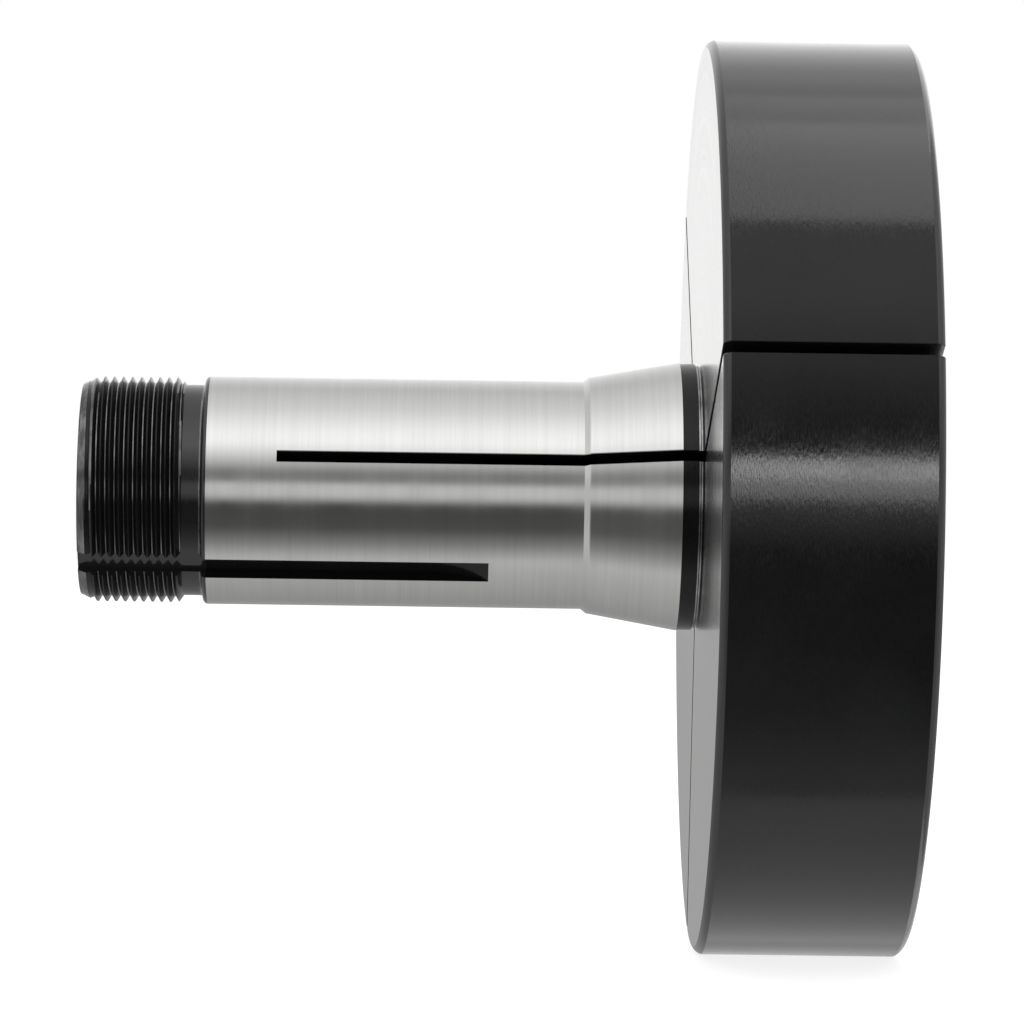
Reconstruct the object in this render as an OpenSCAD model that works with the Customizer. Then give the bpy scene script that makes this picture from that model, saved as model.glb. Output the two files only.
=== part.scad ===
// Step-chuck collet for a 5C spindle.
// A hollow, threaded and ground shank is sawn into three spring leaves. Each leaf carries
// a third of the front land, of the closing cone and of a large round head, so that the
// spindle closes the three head jaws on the work. Three loose pins set the gap while the head is bored.
// The collet's axis is X, +X runs out of the face. The origin is on the axis, where the
// ground shank ends and the cone begins. The first leaf, which holds the keyway, is on the -Y side,
// turned down by key_roll.

/* [Shank] */
// Diameter of the ground shank
shank_d = 31.75; // [31.5:0.05:32]
// Length of the ground shank, from its rear shoulder to the cone
bearing_l = 51.95; // [48:0.05:56]
// Length that the slots run back from the cone
slotted_l = 42.25; // [36:0.05:46]
// Length of the stiff front land of each slotted third, behind the cone
land_l = 14; // [10:0.5:18]
// Diameter of the bore behind the head
bore_d = 26.9; // [26.7:0.1:27.5]

/* [Draw thread] */
// Crest diameter of the outside thread
thread_d = 31.4; // [31.2:0.05:31.4]
// Pitch of the outside thread
thread_pitch = 1.27; // [1.2:0.01:1.35]
// Depth of the outside thread
thread_depth = 0.85; // [0.6:0.05:0.9]
// Length of the threaded end
thread_l = 14.3; // [12:0.1:16]
// Diameter of the relief groove in front of the thread
relief_d = 29.4; // [29:0.1:29.6]
// Width of the relief groove
relief_l = 2.7; // [2:0.05:3.5]

/* [Stop thread] */
// Crest diameter of the inside thread, for a work stop
stop_d = 25.4; // [25.2:0.1:25.6]
// Pitch of the inside thread
stop_pitch = 1.058; // [1:0.001:1.1]
// Depth of the inside thread
stop_depth = 0.52; // [0.4:0.02:0.56]
// Length of the inside thread
stop_l = 12.5; // [10:0.5:14]

/* [Keyway] */
// Width of the keyway
key_w = 3.5; // [3.1:0.1:3.6]
// Depth of the keyway below the ground shank
key_depth = 1.9; // [1.6:0.1:2]
// Length of the keyway, from the rear end to the end of its run-out
key_l = 56.9; // [50:0.1:60]
// Radius of the cutter that leaves the run-out
key_cutter_r = 20; // [15:1:25]
// Turn of the first leaf, and of the whole collet, about its axis
key_roll = 42.5; // [0:0.5:120]
// Turn of the keyway past the middle of the first leaf
key_turn = 0.9; // [-2:0.1:2]

/* [Closing cone] */
// Angle of the cone to the axis, in degrees
cone_angle = 10; // [9.5:0.1:10.5]
// Length of the ground cone
cone_l = 12.57; // [11:0.01:14]
// Diameter of the dark collar in front of the cone
collar_d = 37.2; // [36.9:0.1:37.3]
// Length of the dark collar
collar_l = 2.12; // [1.2:0.02:2.4]
// Diameter of the turned hub between the collar and the head
hub_d = 36.7; // [36.4:0.1:36.9]
// Length of the turned hub
hub_l = 0.8; // [0.6:0.05:1.6]

/* [Head] */
// Diameter of the head
head_d = 127.5; // [120:0.5:130]
// Thickness of the head
head_t = 28.64; // [25:0.02:32]
// Chamfer on both edges of the rim
head_chamfer = 1; // [0.5:0.1:1.5]
// Diameter of the pilot hole through the face
pilot_d = 12.7; // [9.5:0.1:16]

/* [Slots and pins] */
// Width of the three slots between the jaws
slot_w = 1.5; // [1.2:0.1:1.8]
// Diameter of a spacer pin
pin_d = 3.1; // [2.6:0.1:3.6]
// Length of a spacer pin
pin_l = 9.5; // [7:0.5:12]
// Diameter of the circle that the pin holes lie on
pin_circle_d = 96; // [80:1:105]
// Distance that each half of a pin hole springs away from the slot's middle
pin_play = 0.3; // [0.25:0.05:0.4]

/* [Hidden] */
$fn = 180;
shank_r = shank_d / 2;
bore_r = bore_d / 2;
thread_r = thread_d / 2;
stop_r = stop_d / 2;
head_r = head_d / 2;
pilot_r = pilot_d / 2;
pin_r = pin_d / 2;

// Stations along the axis
shoulder_l = 0.65;                                  // chamfered shoulder behind the ground shank
shank_end = 0;
leaf_root = shank_end - slotted_l;
leaf_end = shank_end - land_l;
bearing_rear = shank_end - bearing_l;
relief_rear = bearing_rear - shoulder_l - relief_l;
rear = relief_rear - thread_l;
bevel_l = 0.8;                                      // short bevel that leads from the shank to the cone
bevel_rise = 0.605;
cone_rear = shank_end + bevel_l;
cone_front = cone_rear + cone_l;
collar_front = cone_front + collar_l;
head_back = collar_front + hub_l;
face = head_back + head_t;

cone_small_r = shank_r + bevel_rise;
cone_big_r = cone_small_r + cone_l * tan(cone_angle);
drill_angle = 59;                                   // half the point angle of the drill that opened the bore
bore_floor = cone_front - (bore_r - pilot_r) / tan(drill_angle);

lead_l = 2.2;                                       // lead-in taper at the rear end
lead_drop = 1;
shoulder_drop = 0.6;
stop_lead = 0.8;                                    // chamfer at the mouth of the rear bore
pin_clearance = 0.02;                               // between a pin and its half of the hole
pin_hole_l = 10;
pin_sink = 0.3;                                     // how far a pin lies below the face
pin_chamfer = 0.3;
jaws = 3;
jaw_step = 360 / jaws;
past = 1;                                           // how far a cutter runs past what it cuts

// Turns shapes that are drawn along Z, with the middle of the first leaf at 0 degrees, onto the X axis.
module along_axis() rotate([0, 90, 0]) rotate([0, 0, key_roll - 90]) children();

// A ring turned from a closed outline of [radius, station] points.
module turned(outline) rotate_extrude() polygon(outline);

// One groove of a thread, from crest to crest; side is 1 to cut inwards and -1 to cut outwards.
function groove(station, pitch, crest_r, depth, side) =
    let (land = pitch / 8, flank = depth * tan(30))
    [
        [crest_r, station],
        [crest_r - side * depth, station + flank],
        [crest_r - side * depth, station + pitch - land - flank],
        [crest_r, station + pitch - land]
    ];

// A run of such grooves between two stations.
function grooves(from, to, pitch, crest_r, depth, side) =
    let (turns = floor((to - from) / pitch))
    [for (i = [0 : turns - 1]) each groove(from + i * pitch, pitch, crest_r, depth, side)];

function reversed(list) = [for (i = [len(list) - 1 : -1 : 0]) list[i]];

// The space of one jaw: a third of a turn, with half a slot taken off each side.
module jaw_space(from, to) {
    tip = slot_w / 2 / sin(jaw_step / 2);
    reach = 2 * head_d;
    translate([0, 0, from]) linear_extrude(to - from)
        polygon([
            [tip, 0],
            [tip + reach * cos(jaw_step / 2), -reach * sin(jaw_step / 2)],
            [tip + reach * cos(jaw_step / 2), reach * sin(jaw_step / 2)]
        ]);
}

// The keyway, with the run-out that a round cutter leaves at its front end.
module keyway() rotate([0, 0, key_turn]) {
    floor_r = shank_r - key_depth;
    run_out = sqrt(pow(key_cutter_r, 2) - pow(key_cutter_r - key_depth, 2));
    flat_end = rear + key_l - run_out;
    translate([floor_r, -key_w / 2, rear - past]) cube([2 * key_depth, key_w, flat_end - rear + past]);
    translate([floor_r + key_cutter_r, 0, flat_end]) rotate([90, 0, 0])
        cylinder(h = key_w, r = key_cutter_r, center = true);
}

// Threaded rear end with its relief, shoulder and inside thread.
module threaded_tail() color("dimgray") along_axis() difference() {
    turned(concat(
        [[thread_r - lead_drop, rear]],
        [[thread_r, rear + lead_l]],
        grooves(rear + lead_l, relief_rear, thread_pitch, thread_r, thread_depth, 1),
        [[relief_d / 2, relief_rear], [relief_d / 2, relief_rear + relief_l]],
        [[shank_r - shoulder_drop, relief_rear + relief_l], [shank_r, bearing_rear]],
        [[bore_r, bearing_rear], [bore_r, rear + stop_lead + stop_l]],
        reversed(grooves(rear + stop_lead, rear + stop_lead + stop_l, stop_pitch, stop_r, stop_depth, -1)),
        [[stop_r + stop_lead, rear]]
    ));
    keyway();
}

// The ring of ground shank that the slots leave whole.
module back_bearing() color("silver") along_axis() difference() {
    turned([
        [shank_r, bearing_rear], [shank_r, leaf_root],
        [bore_r, leaf_root], [bore_r, bearing_rear]
    ]);
    keyway();
}

// A third of the ground shank between two stations. The first one carries the keyway.
module shank_third(number, from, to) along_axis() difference() {
    rotate([0, 0, (number - 1) * jaw_step]) intersection() {
        turned([[shank_r, from], [shank_r, to], [bore_r, to], [bore_r, from]]);
        jaw_space(from - past, to + past);
    }
    if (number == 1) keyway();
}

// The part of the slotted shank that bends.
module spring_leaf(number) color("silver") shank_third(number, leaf_root, leaf_end);

// The land behind the cone, which rides in the spindle's bore.
module front_land(number) color("gainsboro") shank_third(number, leaf_end, shank_end);

// A third of the ground closing cone, hollow up to the drill point that ends the bore.
module closing_cone(number) color("lightgray") along_axis()
    rotate([0, 0, (number - 1) * jaw_step]) intersection() {
        turned([
            [shank_r, shank_end], [cone_small_r, cone_rear], [cone_big_r, cone_front],
            [pilot_r, cone_front], [bore_r, bore_floor], [bore_r, shank_end]
        ]);
        jaw_space(shank_end - past, cone_front + past);
    }

// A third of the neck that joins the cone to the head: a dark collar, then the turned hub.
module head_neck(number) color("dimgray") along_axis()
    rotate([0, 0, (number - 1) * jaw_step]) intersection() {
        turned([
            [collar_d / 2, cone_front], [collar_d / 2, collar_front],
            [hub_d / 2, collar_front], [hub_d / 2, head_back],
            [pilot_r, head_back], [pilot_r, cone_front]
        ]);
        jaw_space(cone_front - past, head_back + past);
    }

// The half of a pin hole that one jaw holds; side is 1 for the slot after the jaw, -1 for the one before it.
module half_pin_hole(side) rotate([0, 0, side * jaw_step / 2])
    translate([pin_circle_d / 2, -side * pin_play, face - pin_hole_l])
        cylinder(h = pin_hole_l + past, r = pin_r + pin_clearance, $fn = 48);

// A third of the round head.
module head_jaw(number) color("darkslategray") along_axis()
    rotate([0, 0, (number - 1) * jaw_step]) difference() {
        intersection() {
            turned([
                [pilot_r, head_back], [head_r - head_chamfer, head_back],
                [head_r, head_back + head_chamfer], [head_r, face - head_chamfer],
                [head_r - head_chamfer, face], [pilot_r, face]
            ]);
            jaw_space(head_back - past, face + past);
        }
        half_pin_hole(1);
        half_pin_hole(-1);
    }

// A loose dowel that stands in the slot after its jaw, against that jaw's half of the hole.
module spacer_pin(number) color("gainsboro") along_axis()
    rotate([0, 0, (number - 1) * jaw_step + jaw_step / 2])
        translate([pin_circle_d / 2, -pin_play, face - pin_sink - pin_l])
            rotate_extrude($fn = 48) polygon([
                [0, 0], [pin_r - pin_chamfer, 0], [pin_r, pin_chamfer],
                [pin_r, pin_l - pin_chamfer], [pin_r - pin_chamfer, pin_l], [0, pin_l]
            ]);

threaded_tail();
back_bearing();
for (i = [1 : jaws]) {
    spring_leaf(i);
    front_land(i);
    closing_cone(i);
    head_neck(i);
    head_jaw(i);
    spacer_pin(i);
}
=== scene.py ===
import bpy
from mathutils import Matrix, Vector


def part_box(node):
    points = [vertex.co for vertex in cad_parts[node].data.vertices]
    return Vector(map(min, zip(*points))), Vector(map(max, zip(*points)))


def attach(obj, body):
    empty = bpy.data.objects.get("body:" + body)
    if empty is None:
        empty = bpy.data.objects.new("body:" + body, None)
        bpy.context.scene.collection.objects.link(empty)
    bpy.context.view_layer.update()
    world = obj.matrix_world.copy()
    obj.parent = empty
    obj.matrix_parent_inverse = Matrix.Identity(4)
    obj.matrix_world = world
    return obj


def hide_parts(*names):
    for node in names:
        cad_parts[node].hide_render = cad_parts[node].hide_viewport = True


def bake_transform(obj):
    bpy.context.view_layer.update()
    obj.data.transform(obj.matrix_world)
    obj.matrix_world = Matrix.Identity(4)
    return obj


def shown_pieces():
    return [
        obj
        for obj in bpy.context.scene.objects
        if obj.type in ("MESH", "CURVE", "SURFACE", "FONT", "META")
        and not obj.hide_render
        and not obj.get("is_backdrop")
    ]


bl_info = {
    "name": "Step chuck collet",
    "version": (1, 0, 0),
    "blender": (4, 5, 0),
    "location": "View3D > Sidebar > Collet",
    "description": "Builds a spindle collet with a threaded shank and a large slotted head",
    "category": "Add Mesh",
}

from math import acos, asin, atan2, cos, hypot, pi, radians, sin, sqrt, tan

import bmesh
import bpy
from bpy.props import FloatProperty, FloatVectorProperty, IntProperty, PointerProperty
from mathutils import Matrix, Vector

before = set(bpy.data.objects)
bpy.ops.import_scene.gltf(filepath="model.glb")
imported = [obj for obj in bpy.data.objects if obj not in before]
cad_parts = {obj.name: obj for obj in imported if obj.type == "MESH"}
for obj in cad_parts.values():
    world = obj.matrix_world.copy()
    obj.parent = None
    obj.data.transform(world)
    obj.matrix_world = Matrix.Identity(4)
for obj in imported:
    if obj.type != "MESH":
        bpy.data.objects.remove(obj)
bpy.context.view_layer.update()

MM = 0.001
JAWS = 3
THIRD = 2 * pi / JAWS
MERGE = 1e-7  # points nearer to each other than this become one
BEYOND = 2 * MM  # how far the keyway's cutter reaches past the collet
NEAR = 0.1 * MM  # how near a face lies to a surface that it counts to
SKIN = 0.15 * MM  # the same for the ground outside
SUPPORT = 0.15 * MM  # distance of the support points from a corner
MARK_DEPTH = 0.02 * MM  # depth of the fine marks in the finishes
PIN_STEPS = 48
RUN_OUT_STEPS = 24
SHOULDER_STEPS = 6

# Stations along the axis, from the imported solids.
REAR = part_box("threaded_tail")[0].x
BEARING_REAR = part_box("back_bearing")[0].x
LEAF_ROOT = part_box("back_bearing")[1].x
LEAF_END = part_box("front_land_1")[0].x
SHANK_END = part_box("closing_cone_1")[0].x
CONE_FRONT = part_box("closing_cone_1")[1].x
HEAD_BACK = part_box("head_jaw_1")[0].x
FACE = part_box("head_jaw_1")[1].x


def length(name, text, value):
    """A size in millimetres, kept by Blender in metres."""
    return FloatProperty(
        name=name,
        description=text,
        default=value * MM,
        min=0.0,
        precision=5,
        unit="LENGTH",
    )


def angle(name, text, value):
    """An angle given in degrees."""
    return FloatProperty(name=name, description=text, default=radians(value), subtype="ANGLE")


def colour(name, text, value):
    """An opaque linear colour."""
    return FloatVectorProperty(
        name=name, description=text, default=(*value, 1.0), size=4, min=0.0, max=1.0, subtype="COLOR"
    )


def share(name, text, value):
    """A plain number."""
    return FloatProperty(name=name, description=text, default=value)


class ShankSizes(bpy.types.PropertyGroup):
    """Sizes of the shank, its threads and its keyway."""

    radius: length("Shank radius", "Radius of the ground shank", 15.875)
    bore: length("Bore radius", "Radius of the bore behind the head", 13.45)
    thread: length("Thread radius", "Crest radius of the outside thread", 15.7)
    thread_pitch: length("Thread pitch", "Pitch of the outside thread", 1.27)
    thread_depth: length("Thread depth", "Depth of the outside thread", 0.85)
    lead: length("Lead-in length", "Length of the taper at the rear end", 2.2)
    lead_plain: length("Lead-in ridges", "Length of the lead-in where the thread is only faint ridges", 1.3)
    lead_ridge: length("Ridge depth", "Depth of the faint ridges on the lead-in", 0.1)
    lead_drop: length("Lead-in drop", "How far the lead-in taper falls below the crests", 1.0)
    relief: length("Relief radius", "Radius of the groove in front of the thread", 14.7)
    relief_width: length("Relief width", "Width of that groove", 2.7)
    relief_fillet: length("Relief fillet", "Fillet at the front of the groove", 0.35)
    shoulder_drop: length("Shoulder drop", "Radial size of the shoulder's chamfer", 0.6)
    shoulder: length("Shoulder length", "Length of the shoulder's chamfer", 0.65)
    run_out: length("Thread run-out", "Length over which a thread fades out", 0.7)
    stop: length("Stop thread radius", "Crest radius of the inside thread", 12.7)
    stop_pitch: length("Stop thread pitch", "Pitch of the inside thread", 1.058)
    stop_depth: length("Stop thread depth", "Depth of the inside thread", 0.52)
    stop_length: length("Stop thread length", "Length of the inside thread", 12.5)
    stop_relief: length("Stop thread relief", "How far the inside thread goes past its full length", 0.4)
    stop_lead: length("Bore chamfer", "Chamfer at the mouth of the rear bore", 0.8)
    key_width: length("Keyway width", "Width of the keyway", 3.5)
    key_depth: length("Keyway depth", "Depth of the keyway", 1.9)
    key_length: length("Keyway length", "Length of the keyway from the rear end", 56.9)
    key_cutter: length("Keyway cutter radius", "Radius of the cutter that leaves the run-out", 20.0)
    roll: angle("Roll", "How far the middle of the first leaf lies below the -Y side", 42.5)
    key_turn: angle("Keyway turn", "Turn of the keyway past the middle of the first leaf", 0.9)
    steps: IntProperty(name="Steps", description="Segments around a full turn", default=192, min=24)


class HeadSizes(bpy.types.PropertyGroup):
    """Sizes of the cone, the neck, the head, the slots and the pins."""

    bevel: length("Bevel length", "Length of the bevel behind the cone", 0.8)
    bevel_rise: length("Bevel rise", "Radial rise of that bevel", 0.605)
    cone_angle: angle("Cone angle", "Angle of the closing cone to the axis", 10.0)
    collar: length("Collar radius", "Radius of the dark collar", 18.6)
    collar_length: length("Collar length", "Length of the dark collar", 2.12)
    hub: length("Hub radius", "Radius of the hub between collar and head", 18.35)
    line_gap: length("Line gap", "Width of the grooves that part the hub's bright lines", 0.1)
    line_width: length("Line width", "Width of the hub's two bright lines", 0.19)
    line_depth: length("Line depth", "Depth of the grooves that part the hub's bright lines", 0.16)
    radius: length("Head radius", "Radius of the head", 63.75)
    chamfer: length("Rim chamfer", "Chamfer on both edges of the rim", 1.0)
    chamfer_round: share("Chamfer rounding", "How far the chamfers bulge towards a round", 0.5)
    chamfer_steps: IntProperty(name="Chamfer steps", description="Segments across it", default=5, min=1)
    pilot: length("Pilot radius", "Radius of the hole through the face", 6.35)
    pilot_chamfer: length("Pilot chamfer", "Chamfer at the mouth of that hole", 0.4)
    slot: length("Slot width", "Width of the slots between the jaws", 1.5)
    slot_edge: length("Slot edge break", "Broken edge along the slots", 0.09)
    drill: angle("Drill half angle", "Half the point angle at the end of the bore", 59.0)
    pin: length("Pin radius", "Radius of a spacer pin", 1.55)
    pin_length: length("Pin length", "Length of a spacer pin", 9.5)
    pin_chamfer: length("Pin chamfer", "Chamfer on a pin's ends", 0.3)
    pin_circle: length("Pin circle radius", "Radius at which the pins stand", 48.0)
    pin_play: length("Pin play", "Offset of each half of a pin hole from the slot's middle", 0.3)
    pin_gap: length("Pin clearance", "Gap between a pin and its half hole", 0.02)
    pin_hole: length("Pin hole depth", "Depth of a pin hole", 10.0)
    pin_sink: length("Pin sink", "How far a pin lies below the face", 0.3)


class FinishSettings(bpy.types.PropertyGroup):
    """Colours and gloss of the collet's finishes."""

    ground: colour("Ground steel", "Colour of the ground surfaces", (0.60, 0.60, 0.59))
    ground_gloss: share("Ground roughness", "Roughness of the ground surfaces", 0.17)
    turned: colour("Turned steel", "Colour of the turned faces", (0.58, 0.58, 0.57))
    turned_gloss: share("Turned roughness", "Roughness of the turned faces", 0.16)
    black: colour("Black finish", "Colour of the blackened steel", (0.0040, 0.0041, 0.0044))
    black_gloss: share("Black roughness", "Roughness of the blackened steel", 0.13)
    # Rubbed black: bare metal where wear takes the oxide off, also laid on thread roots, lead-in, relief
    # fillet and hub lines as painted highlight lines.
    rubbed_and_highlight: colour("Rubbed black and highlight", "Colour of the rubbed edges of the blackened steel", (0.18, 0.18, 0.185))
    pin: colour("Pin steel", "Colour of the spacer pins", (0.66, 0.66, 0.65))


class StageSettings(bpy.types.PropertyGroup):
    """The floor, the light and the camera."""

    floor: colour("Floor", "Colour of the floor", (0.25, 0.25, 0.25))
    focal: FloatProperty(name="Lens", description="Focal length in millimetres", default=184.8)
    place: FloatVectorProperty(
        name="Camera place",
        description="Where the camera stands",
        default=(-0.02083, -0.73516, -0.00337),
        size=3,
        precision=5,
        subtype="TRANSLATION",
        unit="LENGTH",
    )
    yaw: angle("Camera yaw", "Turn of the camera to the left", -0.8694)
    pitch: angle("Camera pitch", "Turn of the camera upwards", 0.0715)
    roll: angle("Camera roll", "Roll of the camera", -0.8041)


# ---------------------------------------------------------------- outlines


class Outline:
    """A closed outline of (station, radius) points. An edge marked as a seam meets another piece."""

    def __init__(self):
        self.points = []
        self.seams = []

    def to(self, station, radius, seam=False):
        """Adds a corner. seam says that the edge which starts here is a seam."""
        self.points.append((station, radius))
        self.seams.append(seam)
        return self

    def arc(self, centre, size, start, end, steps=5):
        """Adds corners along an arc, with its angles in degrees from +station towards +radius."""
        for i in range(steps + 1):
            a = radians(start + (end - start) * i / steps)
            self.to(centre[0] + size * cos(a), centre[1] + size * sin(a))
        return self

    def dense(self, step):
        """The same outline with points near the ends of each long edge and along it."""
        result = Outline()
        count = len(self.points)
        for i, (a, seam) in enumerate(zip(self.points, self.seams)):
            b = self.points[(i + 1) % count]
            run = hypot(b[0] - a[0], b[1] - a[1])
            shares = [0.0]
            if run > 4 * SUPPORT:
                parts = max(1, round(run / step))
                shares += [SUPPORT / run]
                shares += [k / parts for k in range(1, parts)]
                shares += [1 - SUPPORT / run]
            for t in shares:
                result.to(a[0] + (b[0] - a[0]) * t, a[1] + (b[1] - a[1]) * t, seam)
        return result

    def inset(self, amount):
        """Its points moved inwards by amount, except across seams."""
        points, count = self.points, len(self.points)
        area = sum(
            points[i - 1][0] * points[i][1] - points[i][0] * points[i - 1][1] for i in range(count)
        )
        turn = 1.0 if area > 0 else -1.0

        def edge(i):
            a, b = points[i], points[(i + 1) % count]
            run = hypot(b[0] - a[0], b[1] - a[1])
            inward = (-(b[1] - a[1]) / run * turn, (b[0] - a[0]) / run * turn)
            return inward, 0.0 if self.seams[i] else amount

        moved = []
        for i, (x, r) in enumerate(points):
            (n1, d1), (n2, d2) = edge(i - 1), edge(i)
            det = n1[0] * n2[1] - n1[1] * n2[0]
            if abs(det) < 1e-6:
                shift = (n1[0] * (d1 + d2) / 2, n1[1] * (d1 + d2) / 2)
            else:
                shift = ((d1 * n2[1] - d2 * n1[1]) / det, (n1[0] * d2 - n2[0] * d1) / det)
            moved.append((x + shift[0], r + shift[1]))
        return moved


def on_axis(station, radius, turn):
    """A point at a radius. turn runs from the -Y side towards -Z."""
    return Vector((station, -radius * cos(turn), -radius * sin(turn)))


# ---------------------------------------------------------------- meshes


def piece_from(name, bm):
    """A new object with this mesh, closed and facing outwards."""
    bmesh.ops.remove_doubles(bm, verts=bm.verts, dist=MERGE)
    bmesh.ops.dissolve_degenerate(bm, edges=bm.edges, dist=MERGE / 10)
    bmesh.ops.recalc_face_normals(bm, faces=bm.faces)
    mesh = bpy.data.meshes.new(name)
    bm.to_mesh(mesh)
    bm.free()
    piece = bpy.data.objects.new(name, mesh)
    bpy.context.scene.collection.objects.link(piece)
    return piece


def smooth(piece, limit=28):
    """Smooth shading, with edges sharper than limit degrees kept."""
    mesh = piece.data
    mesh.polygons.foreach_set("use_smooth", [True] * len(mesh.polygons))
    mesh.set_sharp_from_angle(angle=radians(limit))
    mesh.update()


def bands(bm, rows, closed=True):
    """Faces between each row of points and the next. closed says that a row ends where it starts."""
    for before, after in zip(rows, rows[1:]):
        for i in range(len(before) if closed else len(before) - 1):
            k = (i + 1) % len(before)
            bm.faces.new((before[i], before[k], after[k], after[i]))


def capped(bm, rows):
    """Bands between closed rows, with a face over the first and the last row."""
    bands(bm, rows)
    bm.faces.new(rows[0])
    bm.faces.new(list(reversed(rows[-1])))


def ring_of(bm, outline, steps):
    """A full ring turned from a closed outline."""
    rows = [
        [bm.verts.new(on_axis(x, r, 2 * pi * j / steps)) for j in range(steps)]
        for x, r in outline.points
    ]
    bands(bm, rows + rows[:1])


def third_of(context, name, outline, number, edge, detail=1):
    """The third of a turned outline around a jaw's middle, with the edges along the slots broken."""
    s, h = context.scene.collet_shank, context.scene.collet_head
    centre, half_slot, steps = jaw_centre(s, number), h.slot / 2, detail * s.steps // JAWS
    bm = bmesh.new()

    def row(points, gap, part):
        verts = []
        for x, r in points:
            reach = pi / JAWS - asin(gap / r)
            verts.append(bm.verts.new(on_axis(x, r, centre + reach * part)))
        return verts

    rows = [row(outline.points, half_slot + edge, 2 * j / steps - 1) for j in range(steps + 1)]
    walls = [row(outline.inset(edge), half_slot, side) for side in (-1, 1)]
    capped(bm, [walls[0]] + rows + [walls[1]])
    return piece_from(name, bm)


def evaluated_mesh(piece):
    """The piece's mesh with its modifiers applied."""
    graph = bpy.context.evaluated_depsgraph_get()
    return bpy.data.meshes.new_from_object(piece.evaluated_get(graph), depsgraph=graph)


def cut(piece, *cutters):
    """Takes the cutters' solids out of the piece, then removes the cutters."""
    for cutter in cutters:
        step = piece.modifiers.new("cut", "BOOLEAN")
        step.operation = "DIFFERENCE"
        step.solver = "EXACT"
        step.object = cutter
    bpy.context.view_layer.update()
    made = evaluated_mesh(piece)
    piece.modifiers.clear()
    old, piece.data = piece.data, made
    made.name = piece.name
    bpy.data.meshes.remove(old)
    for cutter in cutters:
        mesh = cutter.data
        bpy.data.objects.remove(cutter)
        bpy.data.meshes.remove(mesh)
    bm = bmesh.new()
    bm.from_mesh(piece.data)
    bmesh.ops.remove_doubles(bm, verts=bm.verts, dist=2 * MERGE)
    bmesh.ops.dissolve_degenerate(bm, edges=bm.edges, dist=MERGE)
    bm.to_mesh(piece.data)
    bm.free()


def keyway_cutter(shank):
    """The keyway as a solid bar that rises along the cutter's radius at its front end."""
    floor = shank.radius - shank.key_depth
    run_out = sqrt(shank.key_cutter**2 - (shank.key_cutter - shank.key_depth) ** 2)
    flat_end = REAR + shank.key_length - run_out
    outline = [(REAR - BEYOND, floor), (flat_end, floor)]
    top = shank.radius + BEYOND
    last = acos(1 - (top - floor) / shank.key_cutter)
    for i in range(1, RUN_OUT_STEPS + 1):
        a = last * i / RUN_OUT_STEPS
        outline.append((flat_end + shank.key_cutter * sin(a), floor + shank.key_cutter * (1 - cos(a))))
    outline.append((REAR - BEYOND, top))
    middle = shank.roll + shank.key_turn
    across = on_axis(0.0, 1.0, middle + pi / 2) * (shank.key_width / 2)
    bm = bmesh.new()
    sides = [
        [bm.verts.new(on_axis(x, r, middle) + across * side) for x, r in outline]
        for side in (-1, 1)
    ]
    capped(bm, sides)
    return piece_from("keyway cutter", bm)


def pin_hole_cutter(head, centre, side):
    """The round hole whose half lies in the jaw at that centre, on its slot before (-1) or after (1)."""
    slot = centre + side * pi / JAWS
    size = head.pin + head.pin_gap
    out = on_axis(0.0, size, slot)
    along = on_axis(0.0, size, slot + pi / 2)
    turns = [2 * pi * j / PIN_STEPS for j in range(PIN_STEPS)]
    bm = bmesh.new()
    rings = []
    for x in (FACE - head.pin_hole, FACE + MM):
        middle = on_axis(x, head.pin_circle, slot) - along * (side * head.pin_play / size)
        rings.append([bm.verts.new(middle + out * cos(a) + along * sin(a)) for a in turns])
    capped(bm, rings)
    return piece_from("pin hole cutter", bm)


# ---------------------------------------------------------------- geometry nodes


def new_tree(name, sockets):
    """A geometry node tree that outputs a mesh. Returns it with its group input and output nodes."""
    tree = bpy.data.node_groups.new(name, "GeometryNodeTree")
    for label, kind, value in sockets:
        socket = tree.interface.new_socket(label, in_out="INPUT", socket_type=kind)
        if value is not None:
            socket.default_value = value
    tree.interface.new_socket("Geometry", in_out="OUTPUT", socket_type="NodeSocketGeometry")
    return tree, tree.nodes.new("NodeGroupInput"), tree.nodes.new("NodeGroupOutput")


def math_node(tree, operation, a, b=0.0):
    """The result of a math node that is fed with two numbers or sockets."""
    node = tree.nodes.new("ShaderNodeMath")
    node.operation = operation
    for socket, value in zip(node.inputs, (a, b)):
        if isinstance(value, bpy.types.NodeSocket):
            tree.links.new(value, socket)
        else:
            socket.default_value = value
    return node.outputs["Value"]


def run_tree(tree, mesh, values):
    """The mesh that the tree makes from mesh with these values for its named inputs."""
    worker = bpy.data.objects.new(tree.name, mesh)
    bpy.context.scene.collection.objects.link(worker)
    step = worker.modifiers.new(tree.name, "NODES")
    step.node_group = tree
    for item in tree.interface.items_tree:
        if item.in_out == "INPUT" and item.name in values:
            step[item.identifier] = values[item.name]
    bpy.context.view_layer.update()
    made = evaluated_mesh(worker)
    worker.modifiers.clear()
    bpy.data.objects.remove(worker)
    return made


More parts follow.
